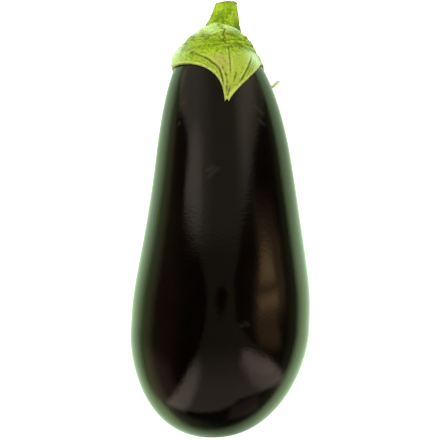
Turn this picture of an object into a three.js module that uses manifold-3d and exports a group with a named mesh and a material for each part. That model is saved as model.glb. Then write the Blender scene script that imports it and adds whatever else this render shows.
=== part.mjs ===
// A globe eggplant lying on its side: the fruit, its green calyx and its cut stem.
// Millimetres, +Z up. The fruit is first shaped upright along +Y, with its blossom end at Y 0,
// and is then bent and laid down on the small flat spot under its weight.
// Angles round the fruit are in degrees from its top side, positive towards +X.
import * as THREE from "three";
import { ParametricGeometry } from "three/addons/geometries/ParametricGeometry.js";
import { mergeVertices } from "three/addons/utils/BufferGeometryUtils.js";
import Module from "manifold-3d";

// Fruit outline, as radius and distance from the blossom end
const FRUIT_LENGTH = 185.4;
const BELLY_RADIUS = 40.5;
const BELLY_AT = 48.2;
const NECK_RADIUS = 31.65;
const NECK_AT = 121.7;
const NECK_TAPER = 0.145;
const BLOSSOM_FULLNESS = 31;
const BELLY_FULLNESS_BELOW = 14;
const BELLY_FULLNESS_ABOVE = 22;
const NECK_FULLNESS_BELOW = 55.5;
const NECK_FULLNESS_ABOVE = 16.2;
const SHOULDER_FULLNESS = 23.7;
const SCAR_RADIUS = 4.5;
const SCAR_DEPTH = 0.9;

// How the fruit bows sideways, rises towards the stem and leans onto the surface, neck down
const BOW_TOP = 1.9;
const BOW_TOP_AT = 113;
const BOW_AT_BLOSSOM = 5.3;
const BOW_AT_STEM = 5;
const BOW_STEM_SPAN = 80;
const RISE = 9;
const RISE_FROM = 60;
const RISE_SPAN = 140;
const LEAN = 8.5;
const FLAT_DEPTH = 0.75;

// Calyx: a cap with pointed lobes that lies on the fruit's shoulder
const GAP = 0.3;
const CAP_RING = 19.6;
const BODY_THICKNESS = 1.6;
const EDGE_THICKNESS = 0.8;
const EDGE_WIDTH = 5;
const COLLAR_THICKNESS = 2.2;
const COLLAR_INNER_RADIUS = 7;
const COLLAR_OUTER_RADIUS = 13.5;
const COLLAR_OFFSET = 5.3;
const TIP_NOTCH = 1;

// Each lobe runs from its left sinus through a blunt tip to its right sinus. Reaches are measured
// along the skin from the top of the fruit. Sharp and hollow shape its two edges: the lower sharp
// is, the finer the tip, and the higher hollow is, the wider the bay beside it. Curl bends the tip
// off the skin: it starts at a reach, and goes on straight once it has turned far enough.
const LOBES = [
  {
    left: { sinus: -62, reach: 28.1, tip: 3, sharp: 0.4, hollow: 1.8 },
    right: { sinus: 67, reach: 27.4, tip: 7, sharp: 0.75, hollow: 1.15 },
    reach: 49.4,
    curl: { from: 47, radius: 60, turn: 90 },
  },
  {
    left: { sinus: 67, reach: 27.4, tip: 111, sharp: 0.65, hollow: 2.5 },
    right: { sinus: 142, reach: 27.5, tip: 115, sharp: 0.65, hollow: 1.3 },
    reach: 44,
    curl: { from: 33.2, radius: 3, turn: 125 },
  },
  {
    left: { sinus: 142, reach: 27.5, tip: 170, sharp: 0.65, hollow: 1.7 },
    right: { sinus: 201, reach: 27.5, tip: 174, sharp: 0.65, hollow: 1.9 },
    reach: 42.5,
    curl: { from: 34, radius: 45, turn: 90 },
  },
  {
    left: { sinus: 201, reach: 27.5, tip: 228, sharp: 0.65, hollow: 1.7 },
    right: { sinus: 298, reach: 28.1, tip: 232, sharp: 0.6, hollow: 3 },
    reach: 45,
    curl: { from: 36, radius: 30, turn: 90 },
  },
];

// Stem: cut short, slightly ribbed, leaning to +X
const STEM_SEAT = 186.5;
const STEM_TOP = 198.7;
const STEM_BASE_RADIUS = 8.2;
const STEM_TOP_RADIUS = 5;
const STEM_FLARE = 0.9;
const STEM_FLARE_HEIGHT = 3.5;
const STEM_OFFSET = 4.3;
const STEM_LEAN = 2.6;
const STEM_RIBS = 5;
const STEM_RIB_SHARE = 0.035;
const STEM_SEAT_SLOPE = 0.2;
const STEM_CUT_SLOPE = 0.09;
const STEM_CUT_BEVEL = 0.7;

// Mesh fineness
const FRUIT_SIDES = 52;
const FRUIT_ROWS = 42;
const LOBE_EDGE_STEPS = 9;
const COLUMN_BEND = 3;
const INNER_CAP_ROWS = 6;
const OUTER_CAP_ROWS = 8;
const LOBE_ROW_STEP = 1.9;
const STEM_SIDES = 30;
const MERGE_DISTANCE = 1e-4;

const SKIN_COLOUR = 0x1a0f16;
const CALYX_COLOUR = 0x8fb43c;
const STEM_COLOUR = 0x86ab30;

const wasm = await Module();
wasm.setup();

const radians = THREE.MathUtils.degToRad;
const smoothstep = (x) => THREE.MathUtils.smoothstep(x, 0, 1);
const mix = THREE.MathUtils.lerp;

// The fruit's outline from the blossom end to the top, as (radius, distance) points.
function makeOutline() {
  const path = new THREE.Path();
  path.moveTo(0, 0);
  path.bezierCurveTo(
    BLOSSOM_FULLNESS, 0,
    BELLY_RADIUS, BELLY_AT - BELLY_FULLNESS_BELOW,
    BELLY_RADIUS, BELLY_AT,
  );
  path.bezierCurveTo(
    BELLY_RADIUS, BELLY_AT + BELLY_FULLNESS_ABOVE,
    NECK_RADIUS + NECK_TAPER * NECK_FULLNESS_BELOW, NECK_AT - NECK_FULLNESS_BELOW,
    NECK_RADIUS, NECK_AT,
  );
  path.bezierCurveTo(
    NECK_RADIUS - NECK_TAPER * NECK_FULLNESS_ABOVE, NECK_AT + NECK_FULLNESS_ABOVE,
    SHOULDER_FULLNESS, FRUIT_LENGTH,
    0, FRUIT_LENGTH,
  );
  return path;
}

const outline = makeOutline();
const outlineLength = outline.getLength();

// The skin's radius, height and outward normal at a distance along it from the top of the fruit.
function skinAt(reach) {
  const share = 1 - reach / outlineLength;
  const point = outline.getPoint(share);
  const along = outline.getTangent(share);
  return { point, normal: new THREE.Vector2(along.y, -along.x), down: along.negate() };
}

// Bends the upright fruit sideways and up towards its stem.
function bend(p) {
  const below = (BOW_TOP_AT - p.y) / BOW_TOP_AT;
  const above = (p.y - BOW_TOP_AT) / BOW_STEM_SPAN;
  p.x += BOW_TOP - (p.y < BOW_TOP_AT ? BOW_AT_BLOSSOM * below ** 2 : BOW_AT_STEM * above ** 2);
  p.z += RISE * (Math.max(0, p.y - RISE_FROM) / RISE_SPAN) ** 2;
  return p;
}

// The lobe at an angle, and that angle counted on from the first lobe's left sinus.
function lobeAt(angle) {
  const first = LOBES[0].left.sinus;
  const turned = first + THREE.MathUtils.euclideanModulo(angle - first, 360);
  return { turned, lobe: LOBES.find((one) => turned <= one.right.sinus) ?? LOBES[0] };
}

// How far down the skin the calyx reaches at an angle.
function rimAt(angle) {
  const { turned, lobe } = lobeAt(angle);
  if (turned > lobe.left.tip && turned < lobe.right.tip) {
    const across = (turned - lobe.left.tip) / (lobe.right.tip - lobe.left.tip);
    return lobe.reach - TIP_NOTCH * Math.sin(Math.PI * across);
  }
  const side = turned <= lobe.left.tip ? lobe.left : lobe.right;
  const share = Math.min(1, Math.abs((turned - side.tip) / (side.sinus - side.tip)));
  return side.reach + (lobe.reach - side.reach) * (1 - share ** side.sharp) ** side.hollow;
}

// The calyx mesh's columns, each with its angle at the cap's ring and at the rim. They are evenly
// spread round the ring, and crowd towards the tips at the rim.
function makeColumns() {
  const made = [];
  const add = (side, step) => {
    const share = step / LOBE_EDGE_STEPS;
    const angle = mix(side.tip, side.sinus, share ** (1 / side.sharp));
    made.push({ ringAngle: mix(side.tip, side.sinus, share), angle, reach: rimAt(angle) });
  };
  for (const { left, right } of LOBES) {
    for (let step = LOBE_EDGE_STEPS; step >= 0; step--) add(left, step);
    const middle = (left.tip + right.tip) / 2;
    made.push({ ringAngle: middle, angle: middle, reach: rimAt(middle) });
    for (let step = 0; step < LOBE_EDGE_STEPS; step++) add(right, step);
  }
  return made;
}

const columns = makeColumns();

// The distance over the skin from a point of the calyx to its rim.
function distanceToRim(angle, reach) {
  const radius = skinAt(reach).point.x;
  const turn = (to) => radians(THREE.MathUtils.euclideanModulo(to - angle + 180, 360) - 180) * radius;
  let nearest = Infinity;
  columns.forEach((column, k) => {
    const next = columns[(k + 1) % columns.length];
    const a = new THREE.Vector2(turn(column.angle), column.reach - reach);
    const b = new THREE.Vector2(turn(next.angle), next.reach - reach);
    if (Math.abs(a.x - b.x) > radius) return;
    const edge = b.sub(a);
    const share = THREE.MathUtils.clamp(-a.dot(edge) / edge.lengthSq(), 0, 1);
    nearest = Math.min(nearest, a.addScaledVector(edge, share).length());
  });
  return nearest;
}

// The calyx's thickness: it grows from the rim inwards, and swells into a collar round the stem.
function calyxThickness(angle, reach) {
  const radius = skinAt(reach).point.x;
  const across = radius * Math.sin(radians(angle)) - COLLAR_OFFSET;
  const fromCollar = Math.hypot(across, radius * Math.cos(radians(angle)));
  const collar = (COLLAR_OUTER_RADIUS - fromCollar) / (COLLAR_OUTER_RADIUS - COLLAR_INNER_RADIUS);
  const body = mix(EDGE_THICKNESS, BODY_THICKNESS, smoothstep(distanceToRim(angle, reach) / EDGE_WIDTH));
  return body + COLLAR_THICKNESS * smoothstep(collar);
}

// A point of the calyx at an angle, a reach down the skin and a height off it. Past the start of
// its lobe's curl, the calyx leaves the skin on an arc, and then straight on.
function calyxPoint(angle, reach, height) {
  const { curl } = lobeAt(angle).lobe;
  const past = Math.max(0, reach - curl.from);
  const turn = Math.min(past / curl.radius, radians(curl.turn));
  const straight = past - turn * curl.radius;
  const { point, normal, down } = skinAt(Math.min(reach, curl.from));
  const out = curl.radius * (1 - Math.cos(turn)) + straight * Math.sin(turn) + height * Math.cos(turn);
  const flat = point
    .addScaledVector(down, (curl.radius - height) * Math.sin(turn) + straight * Math.cos(turn))
    .addScaledVector(normal, GAP + out);
  const radius = reach === 0 ? 0 : flat.x;
  const around = radians(angle);
  return new THREE.Vector3(radius * Math.sin(around), flat.y, radius * Math.cos(around));
}

// A closed surface, bent as the fruit is, from a function of the column and the row.
function closedSurface(columnCount, rowCount, pointAt) {
  const place = (u, v, target) => {
    const column = Math.round(u * columnCount) % columnCount;
    target.copy(bend(pointAt(column, Math.round(v * rowCount))));
  };
  return new ParametricGeometry(place, columnCount, rowCount);
}

// A solid from a closed geometry, without the faces that have shrunk to a line or a point.
function toSolid(geometry) {
  const bare = geometry.clone();
  bare.deleteAttribute("normal");
  bare.deleteAttribute("uv");
  const merged = mergeVertices(bare, MERGE_DISTANCE);
  const corners = [];
  for (let k = 0; k < merged.index.count; k += 3) {
    const [a, b, c] = merged.index.array.slice(k, k + 3);
    if (a !== b && b !== c && c !== a) corners.push(a, b, c);
  }
  const triVerts = new Uint32Array(corners);
  const vertProperties = merged.attributes.position.array;
  return new wasm.Manifold(new wasm.Mesh({ numProp: 3, vertProperties, triVerts }));
}

function toGeometry(solid) {
  const { vertProperties, triVerts } = solid.getMesh();
  const geometry = new THREE.BufferGeometry();
  geometry.setAttribute("position", new THREE.BufferAttribute(vertProperties, 3));
  geometry.setIndex(new THREE.BufferAttribute(triVerts, 1));
  return geometry;
}

// The fruit, revolved from its outline, with the shallow scar of the blossom at its end.
function makeFruit() {
  const fruit = new THREE.LatheGeometry(outline.getSpacedPoints(FRUIT_ROWS), FRUIT_SIDES);
  const places = fruit.attributes.position;
  for (let k = 0; k < places.count; k++) {
    const p = new THREE.Vector3().fromBufferAttribute(places, k);
    const toScar = 1 - Math.hypot(p.x, p.z) / SCAR_RADIUS;
    if (p.y < BELLY_AT) p.y += SCAR_DEPTH * smoothstep(toScar);
    places.setXYZ(k, ...bend(p));
  }
  return fruit;
}

// The calyx: out along its inner face from the top of the fruit to the rim, and back outside.
// Its rows lie at the same reaches all round, and end early where the rim comes sooner.
function makeCalyx() {
  const longest = Math.max(...LOBES.map((lobe) => lobe.reach));
  const lobeRows = Math.ceil((longest - CAP_RING) / LOBE_ROW_STEP);
  const innerRows = INNER_CAP_ROWS + lobeRows;
  const allRows = innerRows + 1 + lobeRows + OUTER_CAP_ROWS;
  const pointAt = (number, row) => {
    const column = columns[number];
    const inner = row <= innerRows;
    const capRows = inner ? INNER_CAP_ROWS : OUTER_CAP_ROWS;
    const out = inner ? row : allRows - row;
    let reach = CAP_RING * Math.min(1, out / capRows) + LOBE_ROW_STEP * Math.max(0, out - capRows);
    if (reach > column.reach - LOBE_ROW_STEP / 3) reach = column.reach;
    const down = Math.max(0, (reach - CAP_RING) / (column.reach - CAP_RING));
    const angle = mix(column.angle, column.ringAngle, (1 - down) ** COLUMN_BEND);
    return calyxPoint(angle, reach, inner ? 0 : calyxThickness(angle, reach));
  };
  return closedSurface(columns.length, allRows, pointAt);
}

// The stem, or the socket for it when grown outwards: seat, flared foot, ribbed side, bevelled cut.
function makeStem(grow) {
  const height = STEM_TOP - STEM_SEAT;
  const rows = [
    [0, -grow],
    [1, -grow],
    [1, STEM_FLARE_HEIGHT / 2],
    [1, STEM_FLARE_HEIGHT],
    [1, height * 0.5],
    [1, height * 0.75],
    [1, height - STEM_CUT_BEVEL],
    [1 - STEM_CUT_BEVEL / STEM_TOP_RADIUS, height],
    [0, height - STEM_CUT_BEVEL],
  ];
  const pointAt = (column, row) => {
    const around = (2 * Math.PI * column) / STEM_SIDES;
    const [share, up] = rows[row];
    const flare = STEM_FLARE * smoothstep(1 - up / STEM_FLARE_HEIGHT);
    const taper = mix(STEM_BASE_RADIUS - STEM_FLARE, STEM_TOP_RADIUS, Math.max(0, up) / height);
    const rib = 1 + STEM_RIB_SHARE * Math.cos(STEM_RIBS * around);
    const radius = share * ((taper + flare) * rib + grow);
    const x = radius * Math.sin(around);
    const slope = mix(-STEM_SEAT_SLOPE, STEM_CUT_SLOPE, THREE.MathUtils.clamp(up / height, 0, 1));
    return new THREE.Vector3(
      x + STEM_OFFSET + (STEM_LEAN * up) / height,
      STEM_SEAT + up + slope * x,
      radius * Math.cos(around),
    );
  };
  return closedSurface(STEM_SIDES, rows.length - 1, pointAt);
}

// Everything is leant about X, neck down, and the fruit is cut flat where it rests.
const lean = new THREE.Matrix4().makeRotationX(-radians(LEAN));
const fruitSolid = toSolid(makeFruit().applyMatrix4(lean));
const lowest = fruitSolid.boundingBox().min[2];
const surface = new THREE.BoxGeometry(FRUIT_LENGTH, 3 * FRUIT_LENGTH, BELLY_RADIUS);
surface.translate(0, 0, lowest + FLAT_DEPTH - BELLY_RADIUS / 2);
const calyxSolid = toSolid(makeCalyx().applyMatrix4(lean));
const socket = toSolid(makeStem(GAP).applyMatrix4(lean));

const solids = {
  fruit: [fruitSolid.subtract(toSolid(surface)), SKIN_COLOUR, 0.2],
  calyx: [calyxSolid.subtract(socket), CALYX_COLOUR, 0.6],
  stem: [toSolid(makeStem(0).applyMatrix4(lean)), STEM_COLOUR, 0.7],
};

const eggplant = new THREE.Group();
eggplant.name = "eggplant";
for (const [name, [solid, color, roughness]] of Object.entries(solids)) {
  const material = new THREE.MeshStandardMaterial({ color, roughness, metalness: 0 });
  const mesh = new THREE.Mesh(toGeometry(solid), material);
  mesh.name = name;
  eggplant.add(mesh);
}

// The origin is under the middle of the eggplant's box, on the surface that it lies on.
const box = new THREE.Box3().setFromObject(eggplant);
const middle = box.getCenter(new THREE.Vector3());
eggplant.position.set(-middle.x, -middle.y, -box.min.z);

export default eggplant;
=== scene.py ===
import math

import bpy
import numpy as np
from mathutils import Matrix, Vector


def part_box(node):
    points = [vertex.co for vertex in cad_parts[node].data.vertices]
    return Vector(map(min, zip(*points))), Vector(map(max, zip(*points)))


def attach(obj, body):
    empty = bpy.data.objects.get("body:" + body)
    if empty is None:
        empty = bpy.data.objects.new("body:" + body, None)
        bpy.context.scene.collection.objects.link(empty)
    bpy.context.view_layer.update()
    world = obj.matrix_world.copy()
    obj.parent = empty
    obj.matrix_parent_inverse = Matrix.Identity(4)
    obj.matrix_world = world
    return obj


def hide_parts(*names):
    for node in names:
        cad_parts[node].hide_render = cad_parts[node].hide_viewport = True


# Shape values are millimetres and degrees, as in the part's source. The fruit is shaped upright
# along +Y with its blossom end at 0. Reach is the way along the skin from the top of the fruit.
MM = 0.001

# Fruit outline, as radius and distance from the blossom end
FRUIT_LENGTH = 185.4
BELLY_RADIUS = 40.5
BELLY_AT = 48.2
NECK_RADIUS = 31.65
NECK_AT = 121.7
NECK_TAPER = 0.145
BLOSSOM_FULLNESS = 31
BELLY_FULLNESS_BELOW = 14
BELLY_FULLNESS_ABOVE = 22
NECK_FULLNESS_BELOW = 55.5
NECK_FULLNESS_ABOVE = 16.2
SHOULDER_FULLNESS = 23.7

# Blossom scar: a shallow cork dimple with rays and a ragged edge
SCAR_RADIUS = 4.5
SCAR_DEPTH = 0.9
SCAR_RAYS = 5
SCAR_RAY_DEPTH = 0.25
SCAR_RAGGED = 0.3
SCAR_RAGGED_SIZE = 2.2

# How the fruit bows sideways, rises towards the stem and leans onto the surface, neck down
BOW_TOP = 1.9
BOW_TOP_AT = 113
BOW_AT_BLOSSOM = 5.3
BOW_AT_STEM = 5
BOW_STEM_SPAN = 80
RISE = 9
RISE_FROM = 60
RISE_SPAN = 140
LEAN = 8.5
FLAT_DEPTH = 0.75

# Skin: slow unevenness as (height, size), and shallow scuffs, each with its line, width and depth
SKIN_WAVES = ((0.09, 34), (0.02, 9))
SCUFFS = (
    (((-15.5, 85.4), (-12, 84), (-8.6, 82.4), (-5, 80.8), (-1.5, 79.2)), 0.75, 0.12),
    (((-17, 81.6), (-13, 81), (-9, 80.2), (-6, 79.4)), 1.1, 0.16),
    (((-41.5, 49.4), (-40.4, 48), (-38, 46.8)), 0.9, 0.12),
    (((-45, 58.6), (-43, 57.6), (-40.6, 57.6)), 0.9, 0.1),
    (((30, 49), (35, 51), (43, 54.4)), 1, 0.1),
    (((33, 55), (38, 57.5), (44, 59)), 0.9, 0.08),
    (((10.8, 152), (13.5, 152.4), (17, 150.8), (19.5, 153)), 0.8, 0.12),
)

# Where the skin is a little redder, as strength, angle and its spread, and reach and its spread
WARM_PATCH = (1, 32, 17, 146, 30)

# Calyx body
GAP = 0.3
CAP_RING = 19.6
BODY_THICKNESS = 1.6
EDGE_THICKNESS = 0.8
EDGE_WIDTH = 5
COLLAR_THICKNESS = 2.2
COLLAR_INNER_RADIUS = 7
COLLAR_OUTER_RADIUS = 13.5
COLLAR_OFFSET = 5.3
COLUMN_BEND = 3
TIP_NOTCH = 1

# Calyx lobes, as in the part's source. Steps is how many columns each side of a lobe has.
LOBES = (
    {
        "left": {"sinus": -62, "reach": 28.6, "tip": 3, "sharp": 0.4, "hollow": 1.8},
        "right": {"sinus": 67, "reach": 27.9, "tip": 7, "sharp": 0.75, "hollow": 1.15},
        "reach": 49.4,
        "curl": {"from": 47, "radius": 60, "turn": 90},
        "steps": 104,
    },
    {
        "left": {"sinus": 67, "reach": 27.9, "tip": 111, "sharp": 0.65, "hollow": 5.5},
        "right": {"sinus": 142, "reach": 27.5, "tip": 115, "sharp": 0.65, "hollow": 3},
        "reach": 43,
        "curl": {"from": 33.5, "radius": 3, "turn": 112},
        "steps": 52,
    },
    {
        "left": {"sinus": 142, "reach": 27.5, "tip": 170, "sharp": 0.65, "hollow": 1.7},
        "right": {"sinus": 201, "reach": 27.5, "tip": 174, "sharp": 0.65, "hollow": 1.9},
        "reach": 42.5,
        "curl": {"from": 34, "radius": 45, "turn": 90},
        "steps": 44,
    },
    {
        "left": {"sinus": 201, "reach": 27.5, "tip": 228, "sharp": 0.65, "hollow": 1.7},
        "right": {"sinus": 298, "reach": 28.6, "tip": 232, "sharp": 0.6, "hollow": 4},
        "reach": 45,
        "curl": {"from": 36, "radius": 30, "turn": 90},
        "steps": 52,
    },
)
TIP_STEPS = 4

# Where the rim rises, as angle, height and spread
RIM_WAVES = ((92, 1.2, 12), (-92, 1.2, 14))

# Lines on the front lobe, as (angle, reach) points: folds beside its margins, the midrib's
# groove, and the cracks and dry streaks that run to its tip
FOLD_LEFT = (
    (-38, 23.6), (-31, 25), (-23, 26.4), (-15, 27.8), (-11, 28.8), (-8, 30), (-5, 31),
    (-2, 32.2), (0, 33.3), (1.2, 35), (2.3, 37), (3, 39.5), (3.2, 42.5), (2.9, 45.5),
)
FOLD_RIGHT = (
    (52, 22.8), (47, 25.8), (42, 28.1), (37.5, 30.1), (34, 32), (31, 33.6), (28, 35.2),
    (24.5, 37.3), (20.5, 39.4), (16, 41.4),
)
MIDRIB = ((16.5, 21), (15, 23.5), (14.2, 26), (13.2, 30), (12.2, 33), (11.5, 36), (10.5, 39))
STREAK_LEFT = ((3.4, 32.2), (4.6, 34.4), (7, 37.6), (6.5, 41), (5.4, 44), (4.4, 46.2), (3.6, 48))
STREAK_RIGHT = ((18, 34.8), (16.2, 36.8), (14.2, 39), (12, 41.2))
SEAM_RIGHT = ((10.5, 41.5), (8.4, 43.8), (6.8, 45.7), (5.4, 47.7))
CRACK = (
    (24, 8.5), (15, 10), (21, 11.3), (17, 13), (13.5, 14), (16.5, 15.5), (10.5, 17), (13, 19),
    (9.5, 21),
)

# Round patches on the calyx, as strength, angle and its spread, and reach and its spread.
# Puffs are where it stands fuller or flatter, the deep green and stain patches are where a
# colour shows, and the last rows are painted sheen, pale mint on the calyx's sides.
PUFFS = ((-1.3, 92, 34, 16, 8), (-0.8, -90, 45, 6.5, 3.2), (1.1, -84, 26, 23.5, 4.5))
RIPE = ((0.9, 4, 58, 18, 4.5), (0.7, -38, 13, 26.3, 2.6))
STAINS = ((0.9, 3, 9, 29.5, 4), (0.7, 5, 12, 44, 4))
PAINTED_SHEEN_PATCHES = ((0.95, -84, 27, 22, 6), (0.9, 56, 15, 26.5, 4.5))

# Depths and widths of what stands on or is cut into the calyx
FOLD_STEP = 0.55
FOLD_DEPTH = 0.6
FOLD_WIDTH = 0.34
FOLD_CREST = 0.22
FOLD_CREST_AT = 0.75
FOLD_CREST_WIDTH = 0.36
FOLD_REACH = 5
FOLD_LINE = 0.14
FOLD_LINE_PITCH = 1.05
FOLD_LINES_AT = -2.2
FOLD_LINES_WIDTH = 1.3
MIDRIB_DEPTH = 0.3
MIDRIB_WIDTH = 0.3
MIDRIB_CREST = 0.16
MIDRIB_CREST_AT = 0.85
MIDRIB_CREST_WIDTH = 0.4
STREAK_LEFT_DEPTH = 0.25
STREAK_RIGHT_DEPTH = 0.18
STREAK_WIDTH = 0.42
SEAM_DEPTH = 0.22
SEAM_WIDTH = 0.3
CRACK_DEPTH = 0.45
CRACK_WIDTH = 0.34
RIM_CREST = 0.22
RIM_CREST_AT = 0.55
RIM_CREST_WIDTH = 0.4
CREASE_DEPTH = 0.5
CREASE_LENGTH = 6
CREASE_PITCH = 1
CREASE_WIDTH = 0.26
CREASE_WARP = 1.6
CREASES_FROM = 8
CREASES_TO = 25
LEAF_LUMPS = ((0.26, 9), (0.24, 3.2), (0.2, 1.3))
FOOT_CREASE = 0.75
FOOT_CREASE_WIDTH = 0.9
FOOT_SWELL = 0.5
FOOT_SWELL_AT = 2.6
FOOT_SWELL_WIDTH = 1.8

# Stem: cut short, slightly ribbed, leaning to +X
STEM_SEAT = 186.5
STEM_TOP = 198.7
STEM_BASE_RADIUS = 8.2
STEM_TOP_RADIUS = 5
STEM_FLARE = 0.4
STEM_FLARE_HEIGHT = 3.5
STEM_OFFSET = 4.3
STEM_LEAN = 2.6
STEM_RIBS = 5
STEM_RIB_SHARE = 0.035
STEM_SEAT_SLOPE = 0.2
STEM_CUT_SLOPE = 0.09
STEM_CUT_BEVEL = 0.7
STEM_DENT = 0.35
STEM_DENT_SPREAD = 50
STEM_CORNER = 0.2
STEM_CORNER_FROM = 3
STEM_LUMPS = ((0.28, 3.2), (0.2, 1.4), (0.1, 0.7))
STEM_LUMP_STRETCH = 0.55
STEM_FURROWS = 7
STEM_FURROW_DEPTH = 0.14
STEM_CUT_ROUGH = 0.22

# Mesh fineness
FRUIT_SIDES = 300
FRUIT_ROWS = 280
CALYX_OUTER_ROWS = 156
CALYX_INNER_ROWS = 14
CALYX_EDGE_ROWS = 5
STEM_SIDES = 220
STEM_ROWS = 110
STEM_CUT_ROWS = 34

# Photograph's view: a pinhole camera straight above, image up along +Y
CAMERA_HEIGHT = 1.2
CAMERA_X = -0.00008
CAMERA_Y = -0.00085
SENSOR = 36
LENS = 208.9


def smoothstep(x):
    x = np.clip(x, 0, 1)
    return x * x * (3 - 2 * x)


def mix(a, b, share):
    return a + (b - a) * share


def together(*parts):
    """Points from arrays or numbers of each coordinate."""
    return np.stack(np.broadcast_arrays(*parts), axis=-1)


def hump(distance, width):
    """A bell of height 1 over a signed distance."""
    return np.exp(-((distance / width) ** 2))


# Smooth random values
LATTICE_SIDE = 64
lattice = np.random.default_rng(11).uniform(-1, 1, (LATTICE_SIDE,) * 3)


def lumps(points, size, seed=0):
    """Smooth random values between -1 and 1 at points, which change over about size."""
    places = points / size + 17.37 * seed
    cell = np.floor(places).astype(int)
    share = smoothstep(places - cell)
    total = 0
    for corner in np.ndindex(2, 2, 2):
        weight = np.prod(np.where(np.array(corner, bool), share, 1 - share), axis=-1)
        index = (cell + corner) % LATTICE_SIDE
        total = total + weight * lattice[index[..., 0], index[..., 1], index[..., 2]]
    return total


def layered(points, layers):
    """The sum of several sizes of lumps, each a (height, size)."""
    return sum(height * lumps(points, size, k) for k, (height, size) in enumerate(layers))


# The fruit's outline and the shape it bends into
def make_outline():
    """The outline from the blossom end to the top: radii, distances and the length so far."""
    curves = (
        ((0, 0), (BLOSSOM_FULLNESS, 0),
         (BELLY_RADIUS, BELLY_AT - BELLY_FULLNESS_BELOW), (BELLY_RADIUS, BELLY_AT)),
        ((BELLY_RADIUS, BELLY_AT), (BELLY_RADIUS, BELLY_AT + BELLY_FULLNESS_ABOVE),
         (NECK_RADIUS + NECK_TAPER * NECK_FULLNESS_BELOW, NECK_AT - NECK_FULLNESS_BELOW),
         (NECK_RADIUS, NECK_AT)),
        ((NECK_RADIUS, NECK_AT),
         (NECK_RADIUS - NECK_TAPER * NECK_FULLNESS_ABOVE, NECK_AT + NECK_FULLNESS_ABOVE),
         (SHOULDER_FULLNESS, FRUIT_LENGTH), (0, FRUIT_LENGTH)),
    )
    share = np.linspace(0, 1, 1200)[:, None]
    rows = []
    for curve in curves:
        a, b, c, d = (np.array(point, float) for point in curve)
        rest = 1 - share
        line = rest**3 * a + 3 * rest**2 * share * b + 3 * rest * share**2 * c + share**3 * d
        rows.append(line[1:] if rows else line)
    points = np.concatenate(rows)
    so_far = np.concatenate([[0], np.cumsum(np.linalg.norm(np.diff(points, axis=0), axis=1))])
    return points[:, 0], points[:, 1], so_far


outline_radius, outline_height, outline_so_far = make_outline()
SKIN_LENGTH = outline_so_far[-1]
TANGENT_STEP = 0.05


def outline_at(reach):
    so_far = SKIN_LENGTH - reach
    radius = np.interp(so_far, outline_so_far, outline_radius)
    return radius, np.interp(so_far, outline_so_far, outline_height)


def skin_at(reach):
    """The skin's radius and height, and its outward normal's parts along both."""
    before = outline_at(reach + TANGENT_STEP)
    after = outline_at(reach - TANGENT_STEP)
    along = (after[0] - before[0], after[1] - before[1])
    length = np.hypot(*along)
    return *outline_at(reach), along[1] / length, -along[0] / length


def upright(angle, radius, height):
    """Points of the upright fruit from angle, radius and height."""
    turn = np.radians(angle)
    return together(radius * np.sin(turn), height, radius * np.cos(turn))


def bend(points):
    """Bends upright points as the fruit bows and rises, and leans them onto the surface."""
    x, y, z = np.moveaxis(points, -1, 0)
    below = BOW_AT_BLOSSOM * ((BOW_TOP_AT - y) / BOW_TOP_AT) ** 2
    above = BOW_AT_STEM * ((y - BOW_TOP_AT) / BOW_STEM_SPAN) ** 2
    x = x + BOW_TOP - np.where(y < BOW_TOP_AT, below, above)
    z = z + RISE * (np.maximum(0, y - RISE_FROM) / RISE_SPAN) ** 2
    cosine, sine = math.cos(math.radians(LEAN)), math.sin(math.radians(LEAN))
    return together(x, y * cosine + z * sine, z * cosine - y * sine)


# Lines drawn on the skin
def turned_by(angle):
    """An angle as the shorter way round."""
    return (angle + 180) % 360 - 180


def near_line(angle, reach, line, closed=False):
    """The signed distance over the skin to a line of (angle, reach) points, and the share of
    the line gone by at its nearest point. To the right of the line's way, seen from outside
    with the stem up, the distance is negative."""
    radius = outline_at(reach)[0]
    best = np.full(np.shape(angle + reach), np.inf)
    signed = best.copy()
    share = np.zeros_like(best)
    ends = list(zip(line, line[1:])) + ([(line[-1], line[0])] if closed else [])
    for k, (a, b) in enumerate(ends):
        ax = np.radians(turned_by(a[0] - angle)) * radius
        ay = a[1] - reach
        dx = np.radians(turned_by(b[0] - a[0])) * radius
        dy = b[1] - a[1]
        length = np.maximum(dx * dx + dy * dy, 1e-9)
        along = np.clip(-(ax * dx + ay * dy) / length, 0, 1)
        px, py = ax + along * dx, ay + along * dy
        far = np.hypot(px, py)
        side = np.sign(px * dy - py * dx)
        nearer = far < best
        best = np.where(nearer, far, best)
        signed = np.where(nearer, far * side, signed)
        share = np.where(nearer, (k + along) / len(ends), share)
    return signed, share


def fading(share, first, last):
    """Rises from 0 over the first share of a line and falls to 0 over its last."""
    return smoothstep(share / first) * smoothstep((1 - share) / last)


def patches(angle, reach, rows):
    """The sum of round patches on the skin."""
    total = 0
    for strength, at_angle, angle_spread, at_reach, reach_spread in rows:
        beside = hump(turned_by(angle - at_angle), angle_spread)
        total = total + strength * beside * hump(reach - at_reach, reach_spread)
    return total


# Meshes
def grid_faces(columns, rows):
    """Quads of a grid that closes on itself over its columns and ends in a point at both ends.
    Vertices run row by row; the first and last vertex are the two points."""
    starts = range(1, 1 + rows * columns, columns)
    faces = [(0, 1 + (k + 1) % columns, 1 + k) for k in range(columns)]
    for start, beyond in zip(starts, starts[1:]):
        for k in range(columns):
            after = (k + 1) % columns
            faces.append((start + k, start + after, beyond + after, beyond + k))
    for k in range(columns):
        faces.append((starts[-1] + columns, starts[-1] + k, starts[-1] + (k + 1) % columns))
    return faces


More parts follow.
